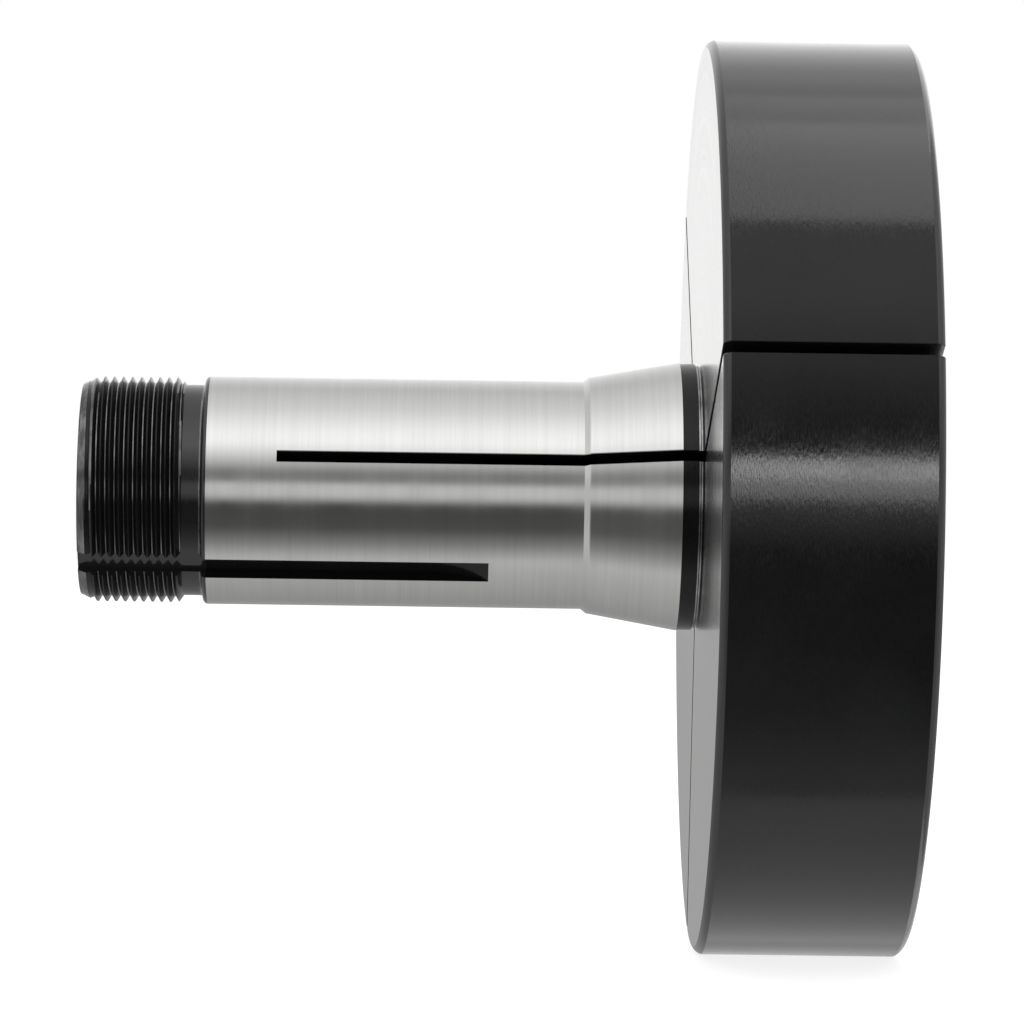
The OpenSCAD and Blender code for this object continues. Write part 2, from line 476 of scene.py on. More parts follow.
def turns_tree():
    """Repeats one turn of a thread along the axis and joins the turns into one sheet."""
    tree, given, result = new_tree(
        "Thread turns",
        [
            ("Turn", "NodeSocketGeometry", None),
            ("Turns", "NodeSocketInt", 10),
            ("Pitch", "NodeSocketFloat", 1.27 * MM),
            ("Finish", "NodeSocketMaterial", None),
        ],
    )
    nodes, link = tree.nodes, tree.links.new
    step = nodes.new("ShaderNodeCombineXYZ")
    link(given.outputs["Pitch"], step.inputs["X"])
    line = nodes.new("GeometryNodeMeshLine")
    line.mode = "OFFSET"
    link(given.outputs["Turns"], line.inputs["Count"])
    link(step.outputs["Vector"], line.inputs["Offset"])
    place = nodes.new("GeometryNodeInstanceOnPoints")
    link(line.outputs["Mesh"], place.inputs["Points"])
    link(given.outputs["Turn"], place.inputs["Instance"])
    realize = nodes.new("GeometryNodeRealizeInstances")
    link(place.outputs["Instances"], realize.inputs["Geometry"])
    merge = nodes.new("GeometryNodeMergeByDistance")
    merge.inputs["Distance"].default_value = 10 * MERGE
    link(realize.outputs["Geometry"], merge.inputs["Geometry"])
    paint = nodes.new("GeometryNodeSetMaterial")
    link(merge.outputs["Geometry"], paint.inputs["Geometry"])
    link(given.outputs["Finish"], paint.inputs["Material"])
    link(paint.outputs["Geometry"], result.inputs["Geometry"])
    return tree


def pin_tree():
    """A dowel with a chamfer on each end, stood along the axis at a given place."""
    tree, given, result = new_tree(
        "Spacer pin",
        [
            ("Mesh", "NodeSocketGeometry", None),
            ("Radius", "NodeSocketFloat", 1.55 * MM),
            ("Length", "NodeSocketFloat", 9.5 * MM),
            ("Chamfer", "NodeSocketFloat", 0.3 * MM),
            ("Place", "NodeSocketVector", None),
            ("Finish", "NodeSocketMaterial", None),
        ],
    )
    nodes, link = tree.nodes, tree.links.new

    def math(operation, a, b):
        return math_node(tree, operation, a, b)

    chamfer, radius = given.outputs["Chamfer"], given.outputs["Radius"]
    nose = math("SUBTRACT", radius, chamfer)
    body = math("SUBTRACT", given.outputs["Length"], math("MULTIPLY", chamfer, 2.0))
    half = math("MULTIPLY", body, 0.5)
    join = nodes.new("GeometryNodeJoinGeometry")

    def frustum(bottom, top, depth, height, fill):
        cone = nodes.new("GeometryNodeMeshCone")
        cone.fill_type = "NGON" if fill else "NONE"
        cone.inputs["Vertices"].default_value = PIN_STEPS
        link(bottom, cone.inputs["Radius Bottom"])
        link(top, cone.inputs["Radius Top"])
        link(depth, cone.inputs["Depth"])
        lift = nodes.new("ShaderNodeCombineXYZ")
        link(height, lift.inputs["Z"])
        move = nodes.new("GeometryNodeTransform")
        link(cone.outputs["Mesh"], move.inputs["Geometry"])
        link(lift.outputs["Vector"], move.inputs["Translation"])
        link(move.outputs["Geometry"], join.inputs["Geometry"])

    frustum(radius, radius, body, math("MULTIPLY", half, -1.0), False)
    frustum(radius, nose, chamfer, half, False)
    frustum(nose, radius, chamfer, math("MULTIPLY", math("ADD", half, chamfer), -1.0), False)
    merge = nodes.new("GeometryNodeMergeByDistance")
    merge.inputs["Distance"].default_value = 10 * MERGE
    link(join.outputs["Geometry"], merge.inputs["Geometry"])
    stand = nodes.new("GeometryNodeTransform")
    stand.inputs["Rotation"].default_value = (0.0, pi / 2, 0.0)
    link(merge.outputs["Geometry"], stand.inputs["Geometry"])
    link(given.outputs["Place"], stand.inputs["Translation"])
    realize = nodes.new("GeometryNodeRealizeInstances")
    link(stand.outputs["Geometry"], realize.inputs["Geometry"])
    paint = nodes.new("GeometryNodeSetMaterial")
    link(realize.outputs["Geometry"], paint.inputs["Geometry"])
    link(given.outputs["Finish"], paint.inputs["Material"])
    link(paint.outputs["Geometry"], result.inputs["Geometry"])
    return tree


def threaded_sheet(bm, start, end, pitch, crest, root, envelope, steps, tree, finish, shallowest=None):
    """A helical thread between two stations, trimmed to the envelope.

    crest and root are radii. envelope gives the radius that the turned blank has at a station,
    and shallowest, if given, the radius that the groove doesn't go below there.
    """
    land = pitch / 8
    flank = abs(crest - root) * tan(radians(30))
    shape = [(0.0, crest), (land, crest)]
    shape += [(land + flank * t, crest + (root - crest) * t) for t in (0.33, 0.66, 1.0)]
    shape += [(pitch - flank * (1 - t), root + (crest - root) * t) for t in (0.0, 0.33, 0.66)]
    shape.append((pitch, crest))
    inside = root > crest

    def radius(station, turn):
        s = (station - start - pitch * turn / (2 * pi)) % pitch
        for (s0, r0), (s1, r1) in zip(shape, shape[1:]):
            if s <= s1:
                return r0 + (r1 - r0) * (s - s0) / (s1 - s0)
        return crest

    turn_bm = bmesh.new()

    def corner(s, r, j):
        turn = 2 * pi * j / steps
        return turn_bm.verts.new((start - 2 * pitch + s + pitch * j / steps, r * cos(turn), r * sin(turn)))

    rows = [[corner(s, r, j) for j in range(steps + 1)] for s, r in shape]
    bands(turn_bm, rows, closed=False)
    one = bpy.data.meshes.new("one turn")
    turn_bm.to_mesh(one)
    turn_bm.free()
    turns = int((end - start) / pitch) + 5
    sheet = run_tree(tree, one, {"Turns": turns, "Pitch": pitch, "Finish": finish})
    first = len(bm.verts)
    bm.from_mesh(sheet)
    bm.verts.ensure_lookup_table()
    made = bm.verts[first:]
    for v in made:
        station = min(max(v.co.x, start), end)
        j = round(atan2(v.co.z, v.co.y) % (2 * pi) / (2 * pi) * steps) % steps
        turn = 2 * pi * j / steps
        r = radius(station, turn) if station in (start, end) else hypot(v.co.y, v.co.z)
        blank = envelope(station)
        if shallowest:
            r = max(r, shallowest(station))
        r = max(r, blank) if inside else min(r, blank)
        v.co = (station, r * cos(turn), r * sin(turn))
    bpy.data.meshes.remove(sheet)
    bpy.data.meshes.remove(one)


def paint(piece, finishes, choose):
    """Gives each face the finish that choose(station, radius, outward, along) names."""
    mesh = piece.data
    mesh.materials.clear()
    for finish in finishes:
        mesh.materials.append(finish)
    for face in mesh.polygons:
        x, y, z = face.center
        r = hypot(y, z)
        outward = (face.normal.y * y + face.normal.z * z) / max(r, 1e-9)
        face.material_index = choose(x, r, outward, face.normal.x)


# ---------------------------------------------------------------- finishes


class Nodes:
    """Short names for building a node material."""

    def __init__(self, name):
        self.material = bpy.data.materials.new(name)
        self.material.use_nodes = True
        self.tree = self.material.node_tree
        self.shader = self.tree.nodes["Principled BSDF"]
        self.object = self.add("ShaderNodeTexCoord").outputs["Object"]

    def add(self, kind, **settings):
        node = self.tree.nodes.new(kind)
        for key, value in settings.items():
            setattr(node, key, value)
        return node

    def wire(self, value, socket):
        if isinstance(value, bpy.types.NodeSocket):
            self.tree.links.new(value, socket)
        else:
            socket.default_value = value

    def give(self, name, value):
        """Sets or feeds one of the shader's inputs."""
        self.wire(value, self.shader.inputs[name])

    def math(self, operation, a, b=0.0):
        return math_node(self.tree, operation, a, b)

    def radius(self):
        """Distance from the axis."""
        split = self.add("ShaderNodeSeparateXYZ")
        self.wire(self.object, split.inputs[0])
        square = self.math(
            "ADD",
            self.math("MULTIPLY", split.outputs["Y"], split.outputs["Y"]),
            self.math("MULTIPLY", split.outputs["Z"], split.outputs["Z"]),
        )
        return self.math("SQRT", square)

    def grain(self, along, around, detail=2.0, roughness=0.5):
        """Noise with one number of marks per metre along the axis and another across it."""
        node = self.add("ShaderNodeMapping")
        node.inputs["Scale"].default_value = (along, around, around)
        self.wire(self.object, node.inputs["Vector"])
        return self.noise(node.outputs["Vector"], detail, roughness)

    def noise(self, vector, detail, roughness):
        node = self.add("ShaderNodeTexNoise")
        node.inputs["Scale"].default_value = 1.0
        node.inputs["Detail"].default_value = detail
        node.inputs["Roughness"].default_value = roughness
        self.wire(vector, node.inputs["Vector"])
        return node.outputs["Fac"]

    def span(self, value, low, high, to_low=0.0, to_high=1.0):
        node = self.add("ShaderNodeMapRange")
        for name, number in zip(
            ("From Min", "From Max", "To Min", "To Max"), (low, high, to_low, to_high)
        ):
            node.inputs[name].default_value = number
        self.wire(value, node.inputs["Value"])
        return node.outputs["Result"]

    def blend(self, amount, a, b):
        node = self.add("ShaderNodeMix", data_type="RGBA")
        self.wire(amount, node.inputs["Factor"])
        self.wire(a, node.inputs[6])
        self.wire(b, node.inputs[7])
        return node.outputs[2]

    def bump(self, height, strength, distance=MARK_DEPTH):
        node = self.add("ShaderNodeBump")
        node.inputs["Strength"].default_value = strength
        node.inputs["Distance"].default_value = distance
        self.wire(height, node.inputs["Height"])
        self.give("Normal", node.outputs["Normal"])


def shade(value, factor):
    """A colour made lighter or darker."""
    return (*(min(1.0, c * factor) for c in value[:3]), 1.0)


def ground_steel(finish):
    """Cylindrically ground steel: fine lines around the axis, a few deeper ones, faint handling marks."""
    n = Nodes("ground steel")
    fine = n.grain(9000.0, 60.0, 3.0, 0.65)
    lines = n.grain(1500.0, 25.0)
    broad = n.grain(160.0, 12.0)
    marks = n.grain(90.0, 90.0, 4.0, 0.6)
    tone = n.math("ADD", n.math("MULTIPLY", fine, 0.5), n.math("MULTIPLY", lines, 0.5))
    base = tuple(finish.ground)
    n.give("Base Color", n.blend(n.span(tone, 0.3, 0.7), shade(base, 0.95), shade(base, 1.05)))
    rough = n.math("ADD", n.span(broad, 0.3, 0.7, -0.03, 0.04), n.span(marks, 0.5, 0.8, 0.0, 0.06))
    n.give("Roughness", n.math("ADD", rough, finish.ground_gloss))
    n.give("Metallic", 1.0)
    n.bump(n.math("ADD", fine, n.math("MULTIPLY", lines, 0.5)), 0.10)
    return n.material


def black_steel(finish, name="black oxide", ior=1.33, lines=1.0):
    """Blackened turned steel: tool lines around the axis under a smooth dark oxide with a faint bloom."""
    n = Nodes(name)
    fine = n.grain(6500.0, 1400.0)
    tool = n.grain(2600.0, 30.0)
    bloom = n.grain(55.0, 55.0, 4.0, 0.6)
    specks = n.grain(900.0, 900.0)
    base = tuple(finish.black)
    tone = n.math("ADD", n.math("MULTIPLY", bloom, 0.6), n.math("MULTIPLY", fine, 0.4))
    body = n.blend(n.span(tone, 0.35, 0.65), shade(base, 0.7), shade(base, 1.5))
    n.give("Base Color", n.blend(n.span(specks, 0.74, 0.8, 0.0, 0.35), body, shade(base, 4.0)))
    rough = n.math("ADD", n.span(bloom, 0.3, 0.7, -0.04, 0.05), n.span(fine, 0.3, 0.7, -0.05, 0.05))
    n.give("Roughness", n.math("ADD", rough, finish.black_gloss))
    n.give("Metallic", 0.0)
    n.give("IOR", ior)
    n.bump(n.math("ADD", fine, n.math("MULTIPLY", tool, 0.12)), 0.65 * lines)
    return n.material


def black_thread(finish):
    """The oiled black of the threaded end, which shines more than the head's."""
    return black_steel(finish, "black thread", 1.6, 0.6)


def black_edge(finish):
    """The smoother black of the rim's chamfers."""
    return black_steel(finish, "black edge", 1.6, 0.6)


def rubbed_highlight_black(finish, name="worn black", light=1.0):
    """Blackened edges and turned marks rubbed half bright by wear, a brighter metal that also paints
    highlight lines where it is laid.
    """
    n = Nodes(name)
    patches = n.grain(700.0, 260.0, 3.0, 0.6)
    base = tuple(finish.rubbed_and_highlight)
    dull, bright = shade(base, 0.45 * light), shade(base, 1.3 * light)
    n.give("Base Color", n.blend(n.span(patches, 0.35, 0.65), dull, bright))
    n.give("Roughness", n.span(patches, 0.3, 0.7, 0.22, 0.14))
    n.give("Metallic", 1.0)
    n.bump(patches, 0.2, MARK_DEPTH / 2)
    return n.material


def rubbed_highlight_line(finish):
    """The hub's two lines, 2.1 times brighter than the rubbed black: a painted highlight."""
    return rubbed_highlight_black(finish, "rubbed highlight line", 2.1)


def turned_steel(finish):
    """Bright turned faces: rings of tool marks around the axis."""
    n = Nodes("turned steel")
    r = n.radius()
    feed = 0.16 * MM
    rings = n.math("SINE", n.math("MULTIPLY", r, 2 * pi / feed))
    wander = n.grain(30.0, 30.0)
    place = n.add("ShaderNodeCombineXYZ")
    n.wire(n.math("MULTIPLY", r, 2600.0), place.inputs["X"])
    n.wire(n.math("MULTIPLY", wander, 1.5), place.inputs["Y"])
    torn = n.noise(place.outputs["Vector"], 3.0, 0.6)
    base = tuple(finish.turned)
    tone = n.math("ADD", n.math("MULTIPLY", rings, 0.12), torn)
    n.give("Base Color", n.blend(n.span(tone, 0.3, 0.7), shade(base, 0.84), shade(base, 1.1)))
    gloss = finish.turned_gloss
    n.give("Roughness", n.span(torn, 0.3, 0.7, gloss - 0.04, gloss + 0.06))
    n.give("Metallic", 1.0)
    n.bump(n.math("ADD", n.math("MULTIPLY", rings, 0.25), torn), 0.14)
    return n.material


def pin_steel(finish):
    """Polished dowel steel with faint lines around the pins."""
    n = Nodes("pin steel")
    fine = n.grain(4000.0, 300.0)
    base = tuple(finish.pin)
    n.give("Base Color", n.blend(fine, shade(base, 0.85), shade(base, 1.1)))
    n.give("Roughness", n.span(fine, 0.3, 0.7, 0.12, 0.2))
    n.give("Metallic", 1.0)
    n.bump(fine, 0.1, MARK_DEPTH / 2)
    return n.material


FINISHES = {
    "ground steel": ground_steel,
    "black oxide": black_steel,
    "black thread": black_thread,
    "black edge": black_edge,
    "worn black": rubbed_highlight_black,
    "rubbed highlight line": rubbed_highlight_line,
    "turned steel": turned_steel,
    "pin steel": pin_steel,
}


def finishes_named(context, *names):
    """The finishes with these names, each made the first time it is asked for."""
    made = bpy.data.materials
    return [made.get(name) or FINISHES[name](context.scene.collet_finish) for name in names]


# ---------------------------------------------------------------- pieces


def hand_over(piece, node, body=None, limit=28):
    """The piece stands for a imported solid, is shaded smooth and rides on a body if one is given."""
    smooth(piece, limit)
    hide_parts(node)
    if body:
        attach(piece, body)
    return piece


def paint_ground(context, piece):
    """Ground steel on the outside, black oxide on the rest."""
    low = context.scene.collet_shank.radius - SKIN
    finishes = finishes_named(context, "ground steel", "black oxide")
    paint(piece, finishes, lambda x, r, outward, along: 0 if r > low and outward > 0.5 else 1)


def jaw_centre(shank, number):
    """The direction of a jaw's middle. The first jaw carries the keyway."""
    return shank.roll + (number - 1) * THIRD


class COLLET_OT_threaded_tail(bpy.types.Operator):
    """Add the threaded rear end with its relief, shoulder and inside thread"""

    bl_idname = "collet.threaded_tail"
    bl_label = "Threaded tail"

    def execute(self, context):
        s = context.scene.collet_shank
        finishes = finishes_named(context, "black thread", "worn black", "black oxide")
        relief_rear = BEARING_REAR - s.shoulder - s.relief_width
        relief_front = BEARING_REAR - s.shoulder
        stop_end = REAR + s.stop_lead + s.stop_length + s.stop_relief
        root_radius = s.thread - s.thread_depth

        def blank(x):
            rear = s.thread - s.lead_drop * max(0.0, 1 - (x - REAR) / s.lead)
            front = s.thread - (s.thread - s.relief) * max(0.0, 1 - (relief_rear - x) / s.run_out)
            return min(rear, front)

        def shallowest(x):
            into_thread = max(0.0, (x - REAR - s.lead_plain) / s.thread_pitch)
            return blank(x) - s.lead_ridge - s.thread_depth * into_thread

        def hollow(x):
            mouth = s.stop + s.stop_lead * max(0.0, 1 - (x - REAR) / s.stop_lead)
            front = s.stop + (s.bore - s.stop) * max(0.0, 1 - (stop_end - x) / s.run_out)
            return max(mouth, front)

        bm = bmesh.new()
        make = (s.steps, turns_tree(), finishes[0])
        outside = (s.thread_pitch, s.thread, root_radius, blank)
        threaded_sheet(bm, REAR, relief_rear, *outside, *make, shallowest)
        inside = (s.stop_pitch, s.stop, s.stop + s.stop_depth, hollow)
        threaded_sheet(bm, REAR, stop_end, *inside, *make)
        front = Outline()
        front.to(relief_rear, s.relief)
        wall_top = s.radius - s.shoulder_drop
        f = s.relief_fillet
        front.arc((relief_front - f, s.relief + f), f, -90, 0)
        for i in range(SHOULDER_STEPS + 1):
            a = pi / 2 * i / SHOULDER_STEPS
            front.to(BEARING_REAR - s.shoulder * cos(a), wall_top + s.shoulder_drop * sin(a))
        front.to(BEARING_REAR, s.bore).to(stop_end, s.bore)
        self.open_rows(bm, front.points, s.steps)
        self.open_rows(bm, [(REAR, s.thread - s.lead_drop), (REAR, s.stop + s.stop_lead)], s.steps)
        piece = piece_from("threaded_end", bm)
        cut(piece, keyway_cutter(s))

        # Thread roots, lead-in and relief fillet get the rubbed black, whose brighter metal paints their
        # highlight lines; flanks and crests get black oxide, the rest black thread.
        def choose(x, r, outward, along):
            threaded = x < relief_rear and outward > 0.3 and r > root_radius - NEAR
            root = threaded and outward > 0.9 and r < root_radius + NEAR / 2
            lead = threaded and x < REAR + 0.9 * s.lead and r > blank(x) - NEAR / 2
            fillet = outward > 0.1 and relief_front - f < x < relief_front and s.relief < r < s.relief + f
            if root or lead or fillet:
                return 1
            return 2 if threaded else 0

        paint(piece, finishes, choose)
        hand_over(piece, "threaded_tail", "sleeve")
        return {"FINISHED"}

    @staticmethod
    def open_rows(bm, points, steps):
        """Bands turned from an open line of points."""
        turns = [2 * pi * j / steps for j in range(steps)]
        bands(bm, [[bm.verts.new((x, r * cos(a), r * sin(a))) for a in turns] for x, r in points])


class COLLET_OT_back_bearing(bpy.types.Operator):
    """Add the ring of ground shank that the slots leave whole"""

    bl_idname = "collet.back_bearing"
    bl_label = "Back bearing"

    def execute(self, context):
        s = context.scene.collet_shank
        outline = Outline()
        outline.to(BEARING_REAR, s.radius).to(LEAF_ROOT, s.radius)
        outline.to(LEAF_ROOT, s.bore).to(BEARING_REAR, s.bore)
        bm = bmesh.new()
        ring_of(bm, outline.dense(2 * MM), s.steps)
        piece = piece_from("ground_bearing", bm)
        cut(piece, keyway_cutter(s))
        paint_ground(context, piece)
        hand_over(piece, "back_bearing", "sleeve")
        return {"FINISHED"}


def shank_third(context, name, number, start, end):
    """A third of the ground shank between two stations, the first with its part of the keyway."""
    s, h = context.scene.collet_shank, context.scene.collet_head
    outline = Outline()
    outline.to(start, s.radius).to(end, s.radius, seam=True)
    outline.to(end, s.bore).to(start, s.bore, seam=start > LEAF_ROOT)
    outline.seams[3] = True
    piece = third_of(context, name, outline.dense(2 * MM), number, h.slot_edge)
    if number == 1:
        cut(piece, keyway_cutter(s))
    paint_ground(context, piece)
    return piece


class COLLET_OT_spring_leaves(bpy.types.Operator):
    """Add the three spring leaves between the bearing and the jaws"""

    bl_idname = "collet.spring_leaves"
    bl_label = "Spring leaves"

    def execute(self, context):
        for number in range(1, JAWS + 1):
            piece = shank_third(context, f"leaf_{number}", number, LEAF_ROOT, LEAF_END)
            hand_over(piece, f"spring_leaf_{number}")
            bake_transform(piece)
        return {"FINISHED"}


class COLLET_OT_front_lands(bpy.types.Operator):
    """Add the three front lands behind the cone"""

    bl_idname = "collet.front_lands"
    bl_label = "Front lands"

    def execute(self, context):
        for number in range(1, JAWS + 1):
            piece = shank_third(context, f"land_{number}", number, LEAF_END, SHANK_END)
            hand_over(piece, f"front_land_{number}", f"jaw_{number}")
        return {"FINISHED"}


class COLLET_OT_closing_cones(bpy.types.Operator):
    """Add the three thirds of the ground closing cone"""

    bl_idname = "collet.closing_cones"
    bl_label = "Closing cones"

    def execute(self, context):
        s, h = context.scene.collet_shank, context.scene.collet_head
        small = s.radius + h.bevel_rise
        big = small + (CONE_FRONT - SHANK_END - h.bevel) * tan(h.cone_angle)
        floor = CONE_FRONT - (s.bore - h.pilot) / tan(h.drill)
        for number in range(1, JAWS + 1):
            outline = Outline()
            outline.to(SHANK_END, s.radius).to(SHANK_END + h.bevel, small)
            outline.to(CONE_FRONT, big, seam=True).to(CONE_FRONT, h.pilot)
            outline.to(floor, s.bore).to(SHANK_END, s.bore, seam=True)
            piece = third_of(context, f"cone_{number}", outline.dense(3 * MM), number, h.slot_edge)
            paint_ground(context, piece)
            hand_over(piece, f"closing_cone_{number}", f"jaw_{number}")
        return {"FINISHED"}


class COLLET_OT_head_necks(bpy.types.Operator):
    """Add the dark collar and hub between the cone and the head"""

    bl_idname = "collet.head_necks"
    bl_label = "Head necks"

    def execute(self, context):
        h = context.scene.collet_head
        collar_front = CONE_FRONT + h.collar_length
        finishes = finishes_named(context, "black oxide", "turned steel", "rubbed highlight line")
        for number in range(1, JAWS + 1):
            outline = Outline()
            outline.to(CONE_FRONT, h.collar).to(collar_front, h.collar)
            x = collar_front
            for _ in range(2):
                outline.to(x, h.hub - h.line_depth).to(x + h.line_gap, h.hub - h.line_depth)
                outline.to(x + h.line_gap, h.hub).to(x + h.line_gap + h.line_width, h.hub)
                x += h.line_gap + h.line_width
            outline.to(x, h.hub - h.line_depth).to(HEAD_BACK, h.hub - h.line_depth, seam=True)
            outline.to(HEAD_BACK, h.pilot).to(CONE_FRONT, h.pilot, seam=True)
            piece = third_of(context, f"neck_{number}", outline, number, h.slot_edge / 2)

            # The hub's two lines get the brighter finish, a painted highlight; the rest is black oxide, the
            # bore turned steel.
            def choose(x, r, outward, along):
                if x > collar_front and r > h.hub - NEAR / 5 and outward > 0.9:
                    return 2
                return 1 if r < h.pilot + MM and outward < -0.5 else 0

            paint(piece, finishes, choose)
            hand_over(piece, f"head_neck_{number}", f"jaw_{number}")
        return {"FINISHED"}


class COLLET_OT_head_jaws(bpy.types.Operator):
    """Add the three jaws of the head, with half a pin hole in each side"""

    bl_idname = "collet.head_jaws"
    bl_label = "Head jaws"

    def execute(self, context):
        s, h = context.scene.collet_shank, context.scene.collet_head
        c = h.chamfer
        finishes = finishes_named(context, "black oxide", "turned steel", "black edge")
        for number in range(1, JAWS + 1):
            centre = jaw_centre(s, number)
            outline = Outline()
            outline.to(HEAD_BACK, h.pilot)
            steps = range(h.chamfer_steps + 1)
            edge = [self.eased_chamfer(i / h.chamfer_steps, h.chamfer_round) for i in steps]
            for depth, rise in edge:
                outline.to(HEAD_BACK + c * depth, h.radius - c * (1 - rise))
            for depth, rise in reversed(edge):
                outline.to(FACE - c * depth, h.radius - c * (1 - rise))
            outline.to(FACE, h.pilot + h.pilot_chamfer).to(FACE - h.pilot_chamfer, h.pilot)
            piece = third_of(context, f"jaw_head_{number}", outline, number, h.slot_edge, 2)
            cut(piece, *(pin_hole_cutter(h, centre, side) for side in (-1, 1)))

            def choose(x, r, outward, along):
                if r > h.radius - c and 0.1 < outward < 0.99:
                    return 2
                face = abs(along) > 0.9 and (x < HEAD_BACK + NEAR or x > FACE - NEAR)
                return 1 if face or (r < h.pilot + MM and outward < -0.3) else 0

            paint(piece, finishes, choose)
            hand_over(piece, f"head_jaw_{number}", f"jaw_{number}", 14)
        return {"FINISHED"}

    @staticmethod
    def eased_chamfer(t, roundness):
        """A point of the chamfer between face (t = 0) and rim (t = 1), as shares of its depth and rise."""
        a = pi / 2 * t
        return t + (1 - cos(a) - t) * roundness, t + (sin(a) - t) * roundness


class COLLET_OT_spacer_pins(bpy.types.Operator):
    """Add the three loose spacer pins"""

    bl_idname = "collet.spacer_pins"
    bl_label = "Spacer pins"

    def execute(self, context):
        s, h = context.scene.collet_shank, context.scene.collet_head
        tree = pin_tree()
        steel, = finishes_named(context, "pin steel")
        for number in range(1, JAWS + 1):
            slot = jaw_centre(s, number) + pi / JAWS
            place = on_axis(FACE - h.pin_sink - h.pin_length / 2, h.pin_circle, slot)
            place -= on_axis(0.0, 1.0, slot + pi / 2) * h.pin_play
            values = {
                "Radius": h.pin,
                "Length": h.pin_length,
                "Chamfer": h.pin_chamfer,
                "Place": tuple(place),
                "Finish": steel,
            }
            empty = bpy.data.meshes.new("pin start")
            bm = bmesh.new()
            bm.from_mesh(run_tree(tree, empty, values))
            bmesh.ops.holes_fill(bm, edges=bm.edges, sides=0)
            piece = piece_from(f"pin_{number}_dowel", bm)
            paint(piece, [steel], lambda x, r, outward, along: 0)
            hand_over(piece, f"spacer_pin_{number}", f"pin_{number}")
        return {"FINISHED"}


class COLLET_OT_stage(bpy.types.Operator):
    """Add the floor, the light and the camera"""

    bl_idname = "collet.stage"
    bl_label = "Floor, light and camera"

    # Brightness of the surroundings round the axis: degrees above the camera's side, brightness.
    SURROUNDINGS = (
        (-180, 0.42),
        (-146, 0.38),
        (-90, 0.58),
        (-72, 0.68),
        (-54, 0.30),
        (-38, 0.10),
        (-13, 0.07),
        (-4, 0.80),
        (6, 0.80),
        (11, 0.26),
        (19, 0.26),
        (33, 0.85),
        (50, 1.50),
        (62, 1.45),
        (92, 1.00),
        (127, 0.74),
        (155, 0.95),
        (180, 1.10),
    )
    SIDES = 0.75

    # Softboxes round the axis that light only the head, edge to edge: from and to what angle
    # above the camera's side, brightness. They stand in front of the head's back face.
    HEAD_LIGHT = (
        (70, 104, 2.75),
        (104, 116, 1.6),
        (116, 128, 0.85),
        (128, 150, 0.6),
        (150, 171, 0.65),
        (-145, -77, 0.65),
        (-174, -145, 0.32),
    )
    HEAD_LIGHT_RADIUS = 1.25
    HEAD_LIGHT_LENGTH = 0.9
    HEAD_LIGHT_X = 0.47

    # The narrow strip beside the camera that the rim mirrors: name, height, width, brightness.
    FRONT_STRIPS = (
        ("front strip", 0.182, 0.131, 12.0),
        ("front strip, lower half", 0.052, 0.130, 5.5),
    )
    FRONT_STRIP_AWAY = 1.5

    OVERHEAD_PLACE = (0.0, 0.2, 1.6)
    OVERHEAD_SIZE = (2.6, 2.6)
    OVERHEAD_BRIGHTNESS = 0.8
    FLOOR_HALF = 6.0
    FLOOR_GLOW = 0.85

    def execute(self, context):
        scene = context.scene
        look = scene.collet_stage
        self.floor(scene, look)
        self.surroundings(scene)
        self.lamps(scene)
        self.camera(scene, look)
        scene.view_settings.view_transform = "Standard"
        scene.view_settings.look = "None"
        return {"FINISHED"}

    def floor(self, scene, look):
        low = min(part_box(f"head_jaw_{n}")[0].z for n in range(1, JAWS + 1))
        bm = bmesh.new()
        bmesh.ops.create_grid(bm, x_segments=2, y_segments=2, size=self.FLOOR_HALF)
        bmesh.ops.translate(bm, verts=bm.verts, vec=(0.0, 0.0, low))
        floor = piece_from("floor", bm)
        n = Nodes("pale floor")
        tone = n.grain(3.0, 3.0)
        base = tuple(look.floor)
        n.give("Base Color", n.blend(tone, shade(base, 0.985), shade(base, 1.0)))
        n.give("Roughness", 0.9)
        n.give("Specular IOR Level", 0.1)
        n.give("Emission Color", (1.0, 1.0, 1.0, 1.0))
        n.give("Emission Strength", self.FLOOR_GLOW)
        floor.data.materials.append(n.material)
        floor.visible_glossy = False
        floor.visible_shadow = False
        floor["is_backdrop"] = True

    def surroundings(self, scene):
        world = bpy.data.worlds.new("studio")
        scene.world = world
        world.use_nodes = True
        nodes, link = world.node_tree.nodes, world.node_tree.links.new
        nodes.clear()

        def math(operation, a, b=0.0):
            return math_node(world.node_tree, operation, a, b)

        split = nodes.new("ShaderNodeSeparateXYZ")
        link(nodes.new("ShaderNodeTexCoord").outputs["Generated"], split.inputs[0])
        x, y, z = (split.outputs[name] for name in "XYZ")
        turn = math("ARCTAN2", z, math("MULTIPLY", y, -1.0))
        place = math("ADD", math("DIVIDE", turn, 2 * pi), 0.5)
        curve = nodes.new("ShaderNodeFloatCurve")
        points = curve.mapping.curves[0].points
        top = max(value for _, value in self.SURROUNDINGS)
        for i, (degree, value) in enumerate(self.SURROUNDINGS):
            at = (degree / 360 + 0.5, value / top)
            if i in (0, len(self.SURROUNDINGS) - 1):
                point = points[0 if i == 0 else -1]
                point.location = at
            else:
                point = points.new(*at)
            point.handle_type = "VECTOR"
        curve.mapping.update()
        link(place, curve.inputs["Value"])
        around = math("MULTIPLY", curve.outputs["Value"], top)
        side = math("POWER", math("ABSOLUTE", x), 3.0)
        mix = nodes.new("ShaderNodeMix")
        link(side, mix.inputs["Factor"])
        link(around, mix.inputs[2])
        mix.inputs[3].default_value = self.SIDES
        seen = nodes.new("ShaderNodeLightPath").outputs["Is Camera Ray"]
        show = nodes.new("ShaderNodeMix")
        link(seen, show.inputs["Factor"])
        link(mix.outputs[0], show.inputs[2])
        show.inputs[3].default_value = 1.0
        background = nodes.new("ShaderNodeBackground")
        background.inputs["Color"].default_value = (1.0, 1.0, 1.0, 1.0)
        link(show.outputs[0], background.inputs["Strength"])
        link(background.outputs[0], nodes.new("ShaderNodeOutputWorld").inputs["Surface"])

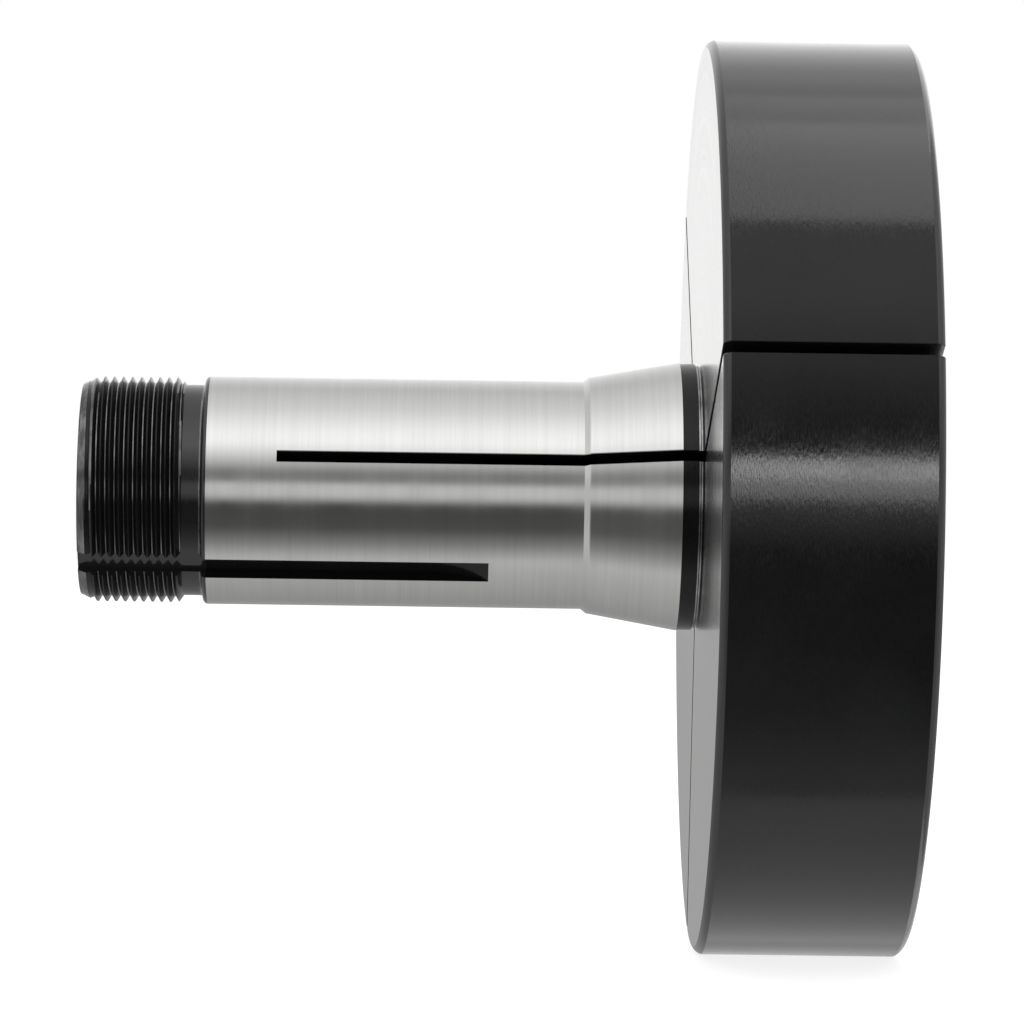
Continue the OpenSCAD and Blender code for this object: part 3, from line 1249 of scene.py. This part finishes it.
    def softbox(self, scene, name, place, size, brightness, seen_by=None):
        """A soft rectangular light that faces the collet, kept to some pieces if they are given."""
        light = bpy.data.lights.new(name, "AREA")
        light.shape = "RECTANGLE"
        light.size, light.size_y = size
        light.energy = brightness * pi * size[0] * size[1]
        lamp = bpy.data.objects.new(name, light)
        lamp.location = place
        out = Vector((0.0, place[1], place[2])).normalized()
        along = Vector((1.0, 0.0, 0.0))
        lamp.rotation_euler = Matrix((along.cross(out), along, out)).transposed().to_euler()
        lamp.visible_camera = False
        scene.collection.objects.link(lamp)
        if seen_by:
            kept = bpy.data.collections.new(name)
            for piece in seen_by:
                kept.objects.link(piece)
            lamp.light_linking.receiver_collection = kept
        return lamp

    def lamps(self, scene):
        head = [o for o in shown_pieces() if o.name.startswith("jaw_head")]
        overhead = self.softbox(
            scene, "overhead softbox", self.OVERHEAD_PLACE, self.OVERHEAD_SIZE, self.OVERHEAD_BRIGHTNESS
        )
        overhead.visible_glossy = False
        for low, high, brightness in self.HEAD_LIGHT:
            middle, half = radians(low + high) / 2, radians(high - low) / 2
            away = self.HEAD_LIGHT_RADIUS * cos(half)
            place = (self.HEAD_LIGHT_X, -away * cos(middle), away * sin(middle))
            size = (2 * self.HEAD_LIGHT_RADIUS * sin(half), self.HEAD_LIGHT_LENGTH)
            self.softbox(scene, f"strip at {low} degrees", place, size, brightness, head)
        for name, height, width, brightness in self.FRONT_STRIPS:
            place = (self.HEAD_LIGHT_X, -self.FRONT_STRIP_AWAY, height)
            self.softbox(scene, name, place, (width, self.HEAD_LIGHT_LENGTH), brightness, head)

    def camera(self, scene, look):
        data = bpy.data.cameras.new("camera")
        data.sensor_width = 36.0
        data.lens = look.focal
        data.clip_start, data.clip_end = 0.01, 100.0
        camera = bpy.data.objects.new("camera", data)
        scene.collection.objects.link(camera)
        turn = (
            Matrix.Rotation(look.yaw, 4, "Z")
            @ Matrix.Rotation(look.pitch, 4, "X")
            @ Matrix.Rotation(look.roll, 4, "Y")
        )
        level = Matrix.Rotation(pi / 2, 4, "X")
        camera.matrix_world = Matrix.Translation(Vector(look.place)) @ turn @ level
        scene.camera = camera


class COLLET_PT_panel(bpy.types.Panel):
    """The collet's pieces and sizes"""

    bl_idname = "COLLET_PT_panel"
    bl_label = "Step chuck collet"
    bl_space_type = "VIEW_3D"
    bl_region_type = "UI"
    bl_category = "Collet"

    def draw(self, context):
        layout = self.layout
        for operator in OPERATORS:
            layout.operator(operator.bl_idname)
        for group in SETTINGS:
            values = getattr(context.scene, group)
            box = layout.box()
            for name in values.__annotations__:
                box.prop(values, name)


SETTINGS = {
    "collet_shank": ShankSizes,
    "collet_head": HeadSizes,
    "collet_finish": FinishSettings,
    "collet_stage": StageSettings,
}
OPERATORS = (
    COLLET_OT_threaded_tail,
    COLLET_OT_back_bearing,
    COLLET_OT_spring_leaves,
    COLLET_OT_front_lands,
    COLLET_OT_closing_cones,
    COLLET_OT_head_necks,
    COLLET_OT_head_jaws,
    COLLET_OT_spacer_pins,
    COLLET_OT_stage,
)


def register():
    for group in (*SETTINGS.values(), *OPERATORS, COLLET_PT_panel):
        bpy.utils.register_class(group)
    for name, group in SETTINGS.items():
        setattr(bpy.types.Scene, name, PointerProperty(type=group))


def unregister():
    for name in SETTINGS:
        delattr(bpy.types.Scene, name)
    for group in reversed((*SETTINGS.values(), *OPERATORS, COLLET_PT_panel)):
        bpy.utils.unregister_class(group)


def main():
    """Builds the collet and its stage."""
    register()
    bpy.ops.collet.threaded_tail()
    bpy.ops.collet.back_bearing()
    bpy.ops.collet.spring_leaves()
    bpy.ops.collet.front_lands()
    bpy.ops.collet.closing_cones()
    bpy.ops.collet.head_necks()
    bpy.ops.collet.head_jaws()
    bpy.ops.collet.spacer_pins()
    bpy.ops.collet.stage()


if __name__ == "__main__":
    main()
